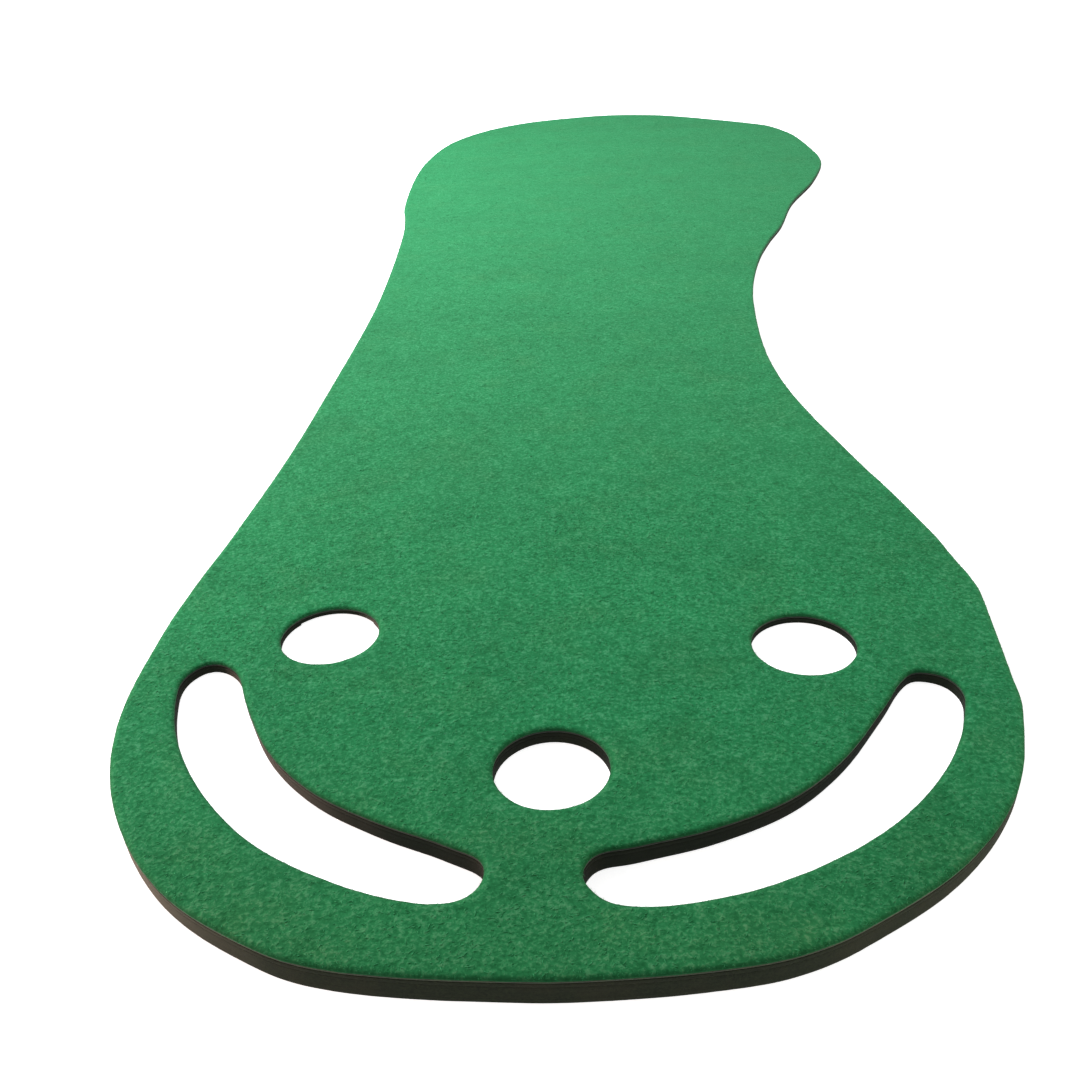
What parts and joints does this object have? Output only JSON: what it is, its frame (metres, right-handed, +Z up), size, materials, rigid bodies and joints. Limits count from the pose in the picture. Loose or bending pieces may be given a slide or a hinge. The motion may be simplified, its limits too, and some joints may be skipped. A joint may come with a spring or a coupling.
{
  "type": "practice putting mat",
  "caption": "Roll-out kidney-shaped putting mat of green felt on dark foam, raised at the cup end, with through cup holes and crescent traps.",
  "frame": {"origin": "centre of the outline's box, on the floor that the mat lies on", "axes": "+Y along the mat from the cup end to the tee end, +X across it, +Z up out of the felt"},
  "size_m": [0.914, 2.743, 0.0243],
  "materials": {
    "green_felt": "needle-punched felt, matt with a slight nap sheen",
    "latex_backing": "matt pale olive latex precoat",
    "dark_foam": "matt charcoal closed-cell foam, cut edge"
  },
  "bodies": {
    "root": {"putting_surface": "green_felt", "felt_backing": "latex_backing", "foam_base": "dark_foam", "cup_end_wedge": "dark_foam"}
  },
  "joints": []
}
